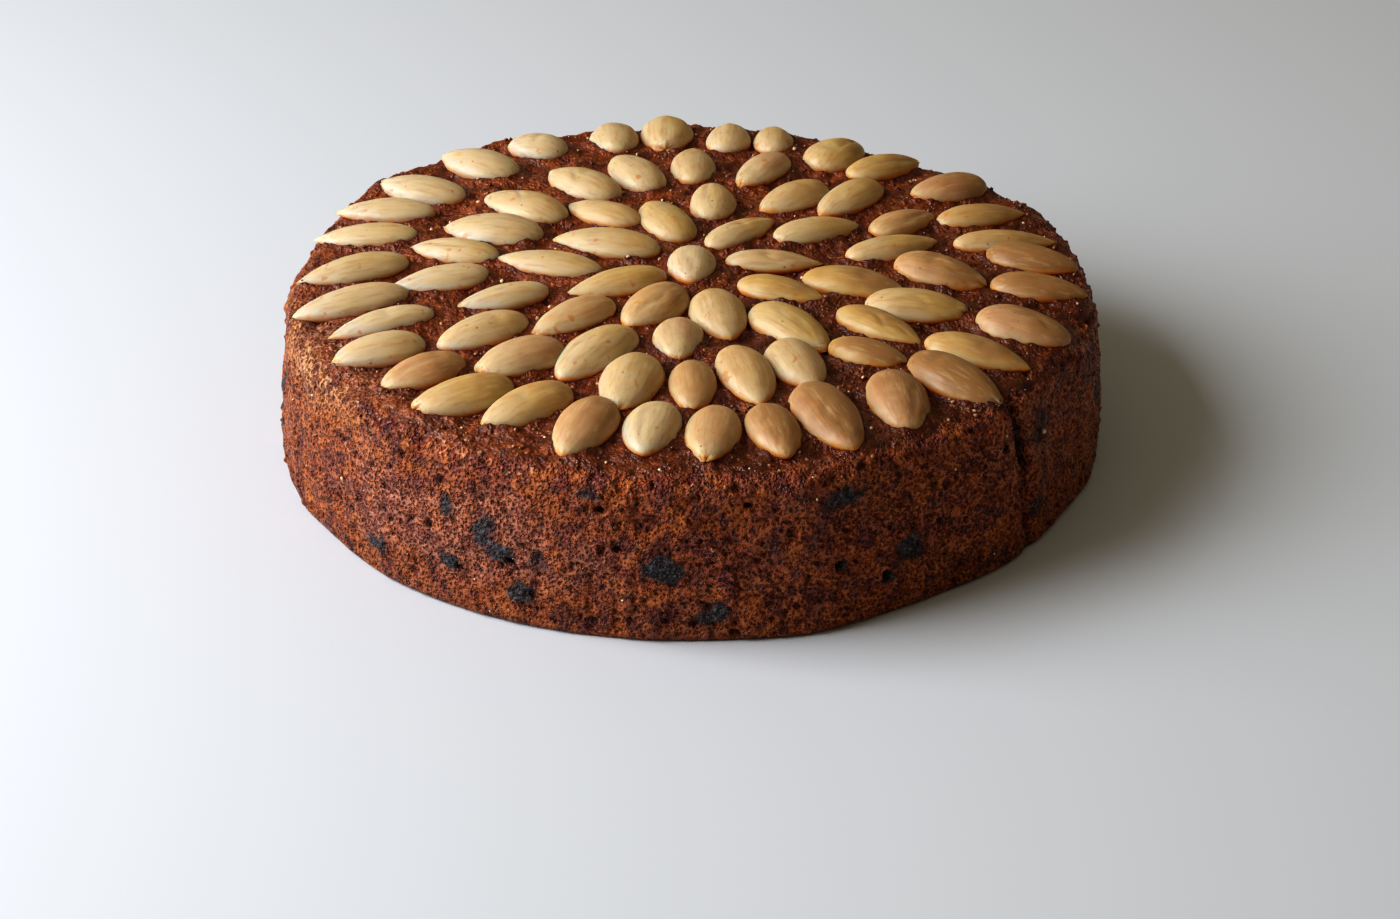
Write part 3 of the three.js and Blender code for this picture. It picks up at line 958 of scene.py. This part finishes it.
def almond_mesh(corners, random, salt):
    """One fine almond: its points and the fields that its finish reads."""
    middle, axes, length, width = almond_frame(corners)
    shift = np.array([salt * 37.0, salt * 11.0, 0])
    traits = almond_traits(random)
    local, t = almond_surface(length, width, traits, shift)
    tone, pink = almond_shade(middle, random)
    # Painted shade: more brown on the side away from the light, and on top, where the skin's own tan adds
    # to it
    shaded_way = math.radians(SHADED_SIDE_BEARING)
    onward = (local @ axes) @ (math.cos(shaded_way), math.sin(shaded_way), 0) / (length / 2)
    tone = tone - 0.2 + 0.6 * smoothstep(-0.7, 0.6, onward) + 0.5 * smoothstep(0.4, 3.0, local[:, 2])
    # Pale tips fade towards the front right, as painted shade
    less_in_shade = 1 - 0.8 * smoothstep(0.1, 0.8, towards_shade(middle[0], middle[1]))
    pale_tip = (0.3 + 0.5 * traits.chip) * less_in_shade
    fields = {
        "nut": local + shift,
        "tone": tone,
        "pink": np.full(len(local), pink),
        "chip": smoothstep(TORN_FROM, 0.95, t) * traits.chip,
        "tip": smoothstep(0.75, 1.0, t) * pale_tip,
    }
    return middle + local @ axes, fields


def make_almonds(material):
    """A fine piece in place of each almond solid. Returns the points and triangles of them all."""
    one_almond = almond_triangles()
    every_point, every_triangle, start = [], [], 0
    names = sorted(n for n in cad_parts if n.startswith("almond"))
    for salt, node in enumerate(names):
        random = np.random.default_rng(ALMOND_SEED + salt)
        parts = [almond_mesh(shell, random, salt * 3 + k) for k, shell in enumerate(almond_shells(node))]
        points = np.concatenate([p for p, _ in parts])
        triangles = np.concatenate([one_almond + k * len(parts[0][0]) for k in range(len(parts))])
        fields = {key: np.concatenate([f[key] for _, f in parts]) for key in parts[0][1]}
        above = points[:, 2] - crust_height(points[:, 0], points[:, 1])
        # Amber foot: partly caramel, partly painted contact shade and bounce light, stronger on the
        # shaded front right
        shaded_right = smoothstep(-0.7, 0.3, towards_shade(points[:, 0], points[:, 1]))
        low_down = smoothstep(1.7, 0.5, above + 0.4 * noise(points, 0.9, 31) - 0.9 * fields["tip"])
        fields["foot"] = (0.6 + 0.2 * shaded_right) * low_down
        make_piece("fine_" + node, points, triangles, material, node, fields)
        every_point.append(points)
        every_triangle.append(triangles + start)
        start += len(points)
    return np.concatenate(every_point), np.concatenate(every_triangle)


# The body

def blobs(bearing, z, rows):
    """Largest nearness, 0 to 1, of points of the side to the middles of a list of patches."""
    nearest = np.zeros(len(z))
    for place, height, half_width, half_height, strength in rows:
        across = np.radians(apart(bearing, place)) * BASE_RADIUS / half_width
        up = (z - height) / half_height
        nearest = np.maximum(nearest, strength * np.clip(1 - (across**2 + up**2) / 2, 0, 1))
    return nearest


def side_fruit_rows():
    """The seen fruit and, at random, as much on the side that the camera doesn't see."""
    random = np.random.default_rng(FRUIT_SEED)
    rows = list(SIDE_FRUIT)
    for _ in range(FRUIT_PIECES_UNSEEN):
        bearing = random.uniform(SEEN_TO, SEEN_FROM + 360)
        half_width, half_height = random.uniform(*FRUIT_HALF_SIZES, 2)
        height = random.uniform(*FRUIT_HEIGHTS)
        rows.append((bearing, height, half_width, half_height, random.uniform(*FRUIT_DARKNESS)))
    return rows


def nearest_almond(points, almond_points, almond_faces):
    """How far each point of the crust is from the nearest almond, up to a few millimetres."""
    tree = BVHTree.FromPolygons(almond_points.tolist(), almond_faces.tolist())
    near = np.full(len(points), ALMOND_REACH)
    for k in np.flatnonzero(points[:, 2] > SIDE_HEIGHT - SHOULDER_DOWN):
        distance = tree.find_nearest(Vector(points[k]), ALMOND_REACH)[3]
        if distance is not None:
            near[k] = distance
    return near


def survey(points, normals):
    """Where each point of the plain body is, and how much it is of each kind of place, from 0 to 1."""
    at = SimpleNamespace()
    at.bearing = np.degrees(np.arctan2(points[:, 1], points[:, 0]))
    at.height = points[:, 2]
    at.radius = np.hypot(points[:, 0], points[:, 1])
    at.share = np.clip(at.height / (SIDE_HEIGHT - SHOULDER_DOWN), 0, 1)
    level = normals[:, 2]
    # Painted light: the gold-brown stretch on the left where the light falls; the crust and the red rim
    # give way to it
    at.golden = bell(apart(at.bearing, PAINTED_LIGHT_BEARING), PAINTED_LIGHT_SPREAD) * smoothstep(0.97, 0.85, level)
    at.upward = smoothstep(0.78, 0.99, level + 0.15 * noise(points, 4, 41)) * (1 - 0.75 * at.golden)
    at.rim = smoothstep(0.2, 0.7, level + 0.35 * noise(points, 5, 42)) * smoothstep(0.97, 0.8, level)
    redder = 0.4 + 0.6 * bell(apart(at.bearing, RED_RIM_BEARING), RED_RIM_SPREAD)
    at.rim = at.rim * (1 - 0.5 * at.golden) * redder

    ragged_bearing = at.bearing + 1.0 * noise(points, 3.2, 45) + 0.5 * noise(points, 1.5, 49)
    ragged_height = at.height + 1.4 * noise(points, 3.2, 46) + 0.8 * noise(points, 1.5, 50)
    at.fruit = blobs(ragged_bearing, ragged_height, side_fruit_rows()) * (1 - at.upward)
    at.peel = blobs(at.bearing, at.height, SIDE_PEEL) * (1 - at.upward)
    at.hole = smoothstep(0.3, 0.9, blobs(at.bearing, at.height, SIDE_HOLES)) * (1 - at.upward)
    crumb_share = (1 - 0.8 * smoothstep(0.35, 0.8, at.fruit)) * (1 - 0.5 * at.upward)
    uneven = wandered(points, 1.4, 0.5, 44)
    at.bubble = pits(uneven, 3.7, 0.10, 0.44, 61) * crumb_share
    at.pore = pits(uneven, 1.8, 0.20, 0.52, 66) * crumb_share

    crease = CREASE_FOOT + (CREASE_TOP - CREASE_FOOT) * at.share
    crease = crease + 0.8 * noise(points, 9, 83) + 0.5 * noise(points, 2.6, 84)
    at.off_crease = apart(at.bearing, crease)
    inside = side_radius(at.bearing, 1) - at.radius
    at.on_edge = smoothstep(SHOULDER_OUT + 3, SHOULDER_OUT - 2, inside)
    depth = GROOVE_DEPTH + GROOVE_DEEPER * at.share
    open_share = 0.7 + 0.6 * noise(points, 4, 85)
    at.groove = depth * at.on_edge * bell(at.off_crease, GROOVE_HALF_WIDTH) * open_share
    return at


def body_relief(points, at):
    """How far each point of the body moves out along its normal."""
    lie = SWELLS * layered(points, 10, 3, 51) + GRAIN * layered(points, 1.9, 2, 56)
    lie += at.upward * (CRUST_LUMPS * layered(points, 4.5, 3, 71) + CRUST_SWELLS * noise(points, 13, 74))
    lie += NUBS * smoothstep(0.5, 0.85, noise(points, 1.7, 57)) * (1 - at.upward)
    lie -= BUBBLE_DEPTH * at.bubble + PORE_DEPTH * at.pore + HOLE_DEPTH * at.hole
    for place, half_width, depth in FOLDS:
        up_the_side = np.stack([0 * at.height, 0 * at.height, at.height + place], axis=1)
        fade = 0.5 + 0.5 * noise(up_the_side, 12, 81)
        wavy = place + 0.4 * noise(points, 9, 82)
        lie -= depth * fade * bell(apart(at.bearing, wavy), half_width) * (1 - at.upward)
    beside = bell(at.off_crease + CREASE_LIP_ASIDE, CREASE_LIP_HALF_WIDTH)
    lie += CREASE_LIP * at.share * at.on_edge * beside - at.groove
    return lie * smoothstep(0, PLAIN_FOOT, at.height)


def warm_field(points, at):
    """Where the side is a warmer brown: in bands near its top and foot, in the painted light, and in a
    few patches. The band at the foot and the low patch on the right are partly painted bounce light.
    """
    warm = bell(at.height - WARM_UPPER, WARM_TALL) * smoothstep(-0.3, 0.5, noise(points, 11, 43))
    warm += bell(at.height - WARM_LOWER, WARM_TALL)
    warm += at.golden * bell(at.height - WARM_IN_PAINTED_LIGHT, WARM_TALL)
    for place, spread, height, half_height, strength in WARM_PATCHES:
        warm += strength * bell(apart(at.bearing, place), spread) * bell(at.height - height, half_height)
    return np.clip(warm, 0, 1)


def body_fields(points, at, near):
    """What the crumb's finish reads. The points are those of the plain body, as survey() took them."""
    # Painted sheen on the side
    painted_sheen = bell(apart(at.bearing, SHEEN_BEARING), SHEEN_SPREAD)
    painted_sheen = painted_sheen * bell(at.height - SHEEN_HEIGHT, SHEEN_TALL)
    # Painted sheen on the left edge of the crust
    edge_sheen = bell(apart(at.bearing, EDGE_SHEEN_BEARING), EDGE_SHEEN_SPREAD)
    # Painted shade on the crust: darker towards the front right and at one spot
    shaded_side = smoothstep(-0.2, 0.9, towards_shade(points[:, 0], points[:, 1]))
    # Painted shade near the foot
    near_foot = smoothstep(FOOT_SHADE_HEIGHT, 0, at.height + 3 * noise(points, 6, 95))
    from_spot = np.hypot(points[:, 0] - SHADED_SPOT[0], points[:, 1] - SHADED_SPOT[1])
    # Painted shade in bubbles, pores, holes, the groove and a thin line round each almond
    holes = 0.9 * at.bubble + 0.8 * at.pore + at.hole + 0.5 * at.groove + 0.6 * bell(near, 0.5)
    return {
        "pit": np.clip(holes, 0, 1),
        "crust": at.upward,
        "rim": RIM_STRENGTH * at.rim,
        "golden": at.golden * bell(at.height - PAINTED_LIGHT_HEIGHT, PAINTED_LIGHT_TALL),
        "warm": warm_field(points, at),
        "painted_sheen": smoothstep(0.15, 0.8, painted_sheen + 0.45 * noise(points, 10, 48)),
        "foot": FOOT_SHADE_STRENGTH * near_foot * (1 - at.upward),
        "crust_shade": 0.5 * shaded_side + 0.3 * bell(from_spot, SHADED_SPOT_REACH),
        "edge_sheen": edge_sheen * smoothstep(EDGE_SHEEN_FROM, EDGE_SHEEN_FULL, at.radius),
        "fruit": at.fruit,
        "peel": at.peel,
        "syrup_and_shade": SYRUP_SHADE_STRENGTH * bell(near, SYRUP_SHADE_REACH) * at.upward,
    }


def make_body(material, almond_points, almond_faces):
    """The side and the crust, as two pieces that meet point for point at the top of the side.

    Returns the points of the whole skin, and how likely a grain is to lie at each of them.
    """
    below = underside_rings() + side_rings()
    middle_height = crust_height(np.zeros(1), np.zeros(1))[0]
    plain, triangles = skin(below + crust_rings(), (0, 0, 0), (0, 0, middle_height))
    plain_normals = normals_of(plain, triangles)
    at = survey(plain, plain_normals)
    points = plain + plain_normals * body_relief(plain, at)[:, None]
    near = nearest_almond(points, almond_points, almond_faces)
    climb = (CLIMB + CLIMB_UNEVENNESS * noise(points, 2.5, 91)) * bell(near, CLIMB_REACH)
    climb = climb * smoothstep(0.3, 0.8, plain_normals[:, 2])
    points[:, 2] = np.maximum(points[:, 2] + climb, 0)
    fields = body_fields(plain, at, near)

    normals = normals_of(points, triangles)
    first_of_crust = 1 + sum(len(ring) for ring in below[:-1])
    on_crust = triangles.min(axis=1) >= first_of_crust
    for name, chosen in (("fine_side", triangles[~on_crust]), ("fine_crust", triangles[on_crust])):
        used, renumbered = np.unique(chosen, return_inverse=True)
        kept = {key: values[used] for key, values in fields.items()}
        corners = renumbered.reshape(-1, 3)
        make_piece(name, points[used], corners, material, "cake_body", kept, normals[used])
    weight = (0.08 + at.upward) * smoothstep(0.2, 1.0, near) * smoothstep(1, 3, at.height)
    return points, weight


def icosahedron():
    """Corners and faces of a ball of 20 faces and radius 1."""
    across = np.array([(0, s, t) for s in (-1, 1) for t in (-GOLDEN_RATIO, GOLDEN_RATIO)])
    ball = np.concatenate([np.roll(across, k, axis=1) for k in range(3)]) / math.hypot(1, GOLDEN_RATIO)
    hull = bmesh.new()
    for corner in ball:
        hull.verts.new(corner)
    bmesh.ops.convex_hull(hull, input=hull.verts)
    hull.verts.index_update()
    corners = np.array([tuple(v.co) for v in hull.verts])
    faces = np.array([[v.index for v in face.verts] for face in hull.faces])
    hull.free()
    return corners, faces


def make_grains(material, points, weight):
    """Small sticky grains, half sunk in the crust where weight is high, as one piece."""
    random = np.random.default_rng(GRAIN_SEED)
    chosen = random.choice(len(points), GRAINS, replace=False, p=weight / weight.sum())
    ball, faces = icosahedron()
    smallest, largest = GRAIN_RADIUS
    size = smallest + (largest - smallest) * random.uniform(0, 1, (GRAINS, 1, 1)) ** GRAIN_SKEW
    uneven = random.uniform(*GRAIN_UNEVENNESS, (GRAINS, len(ball), 1))
    grains = points[chosen][:, None] + ball[None] * size * uneven
    grains[:, :, 2] = np.maximum(grains[:, :, 2], 0)
    every_face = (faces[None] + (np.arange(GRAINS) * len(ball))[:, None, None]).reshape(-1, 3)
    make_piece("crust_grains", grains.reshape(-1, 3), every_face, material, "cake_body", {})


# Surroundings

def make_camera():
    data = bpy.data.cameras.new("camera")
    data.sensor_width = SENSOR_WIDTH
    data.lens = LENS
    data.clip_start = NEAREST_SEEN
    data.clip_end = FARTHEST_SEEN
    pitch, yaw, roll = (math.radians(a) for a in (CAMERA_PITCH, CAMERA_YAW, CAMERA_ROLL))
    ahead = math.cos(pitch)
    forward = Vector((math.sin(yaw) * ahead, math.cos(yaw) * ahead, -math.sin(pitch)))
    level = Vector((math.cos(yaw), -math.sin(yaw), 0))
    plumb = forward.cross(level)
    right = math.cos(roll) * level + math.sin(roll) * plumb
    down = math.cos(roll) * plumb - math.sin(roll) * level
    turned = Matrix((right, -down, -forward)).transposed().to_4x4()
    camera = bpy.data.objects.new("camera", data)
    bpy.context.scene.collection.objects.link(camera)
    camera.matrix_world = Matrix.Translation(Vector(CAMERA_PLACE) * MM) @ turned
    bpy.context.scene.camera = camera


def make_light():
    """A square soft light that faces the cake."""
    data = bpy.data.lights.new("key", "AREA")
    data.shape = "SQUARE"
    data.size = LIGHT_SIZE
    data.energy = LIGHT_POWER
    data.color = LIGHT_TINT
    light = bpy.data.objects.new("key", data)
    bpy.context.scene.collection.objects.link(light)
    level, up = math.radians(LIGHT_BEARING), math.radians(LIGHT_ELEVATION)
    away = Vector((math.cos(level) * math.cos(up), math.sin(level) * math.cos(up), math.sin(up)))
    light.location = away * LIGHT_DISTANCE
    light.rotation_mode = "QUATERNION"
    light.rotation_quaternion = away.to_track_quat("Z", "Y")


def make_floor():
    corners = [(x * FLOOR_REACH, y * FLOOR_REACH, 0) for x, y in ((-1, -1), (1, -1), (1, 1), (-1, 1))]
    mesh = bpy.data.meshes.new("floor")
    mesh.from_pydata(corners, [], [(0, 1, 2, 3)])
    mesh.materials.append(floor_finish())
    floor = bpy.data.objects.new("floor", mesh)
    bpy.context.scene.collection.objects.link(floor)


def make_sky():
    """A weak warm light from all round, and the way that the picture is toned."""
    world = bpy.data.worlds.new("world")
    world.use_nodes = True
    backdrop = world.node_tree.nodes["Background"]
    backdrop.inputs["Color"].default_value = SKY_TINT
    backdrop.inputs["Strength"].default_value = SKY_STRENGTH
    scene = bpy.context.scene
    scene.world = world
    scene.view_settings.view_transform = "Standard"
    scene.view_settings.look = "High Contrast"


make_camera()
make_floor()
make_light()
make_sky()
nut_points, nut_faces = make_almonds(almond_finish())
body_points, grain_weight = make_body(crumb_finish(), nut_points, nut_faces)
make_grains(grain_finish(), body_points, grain_weight)
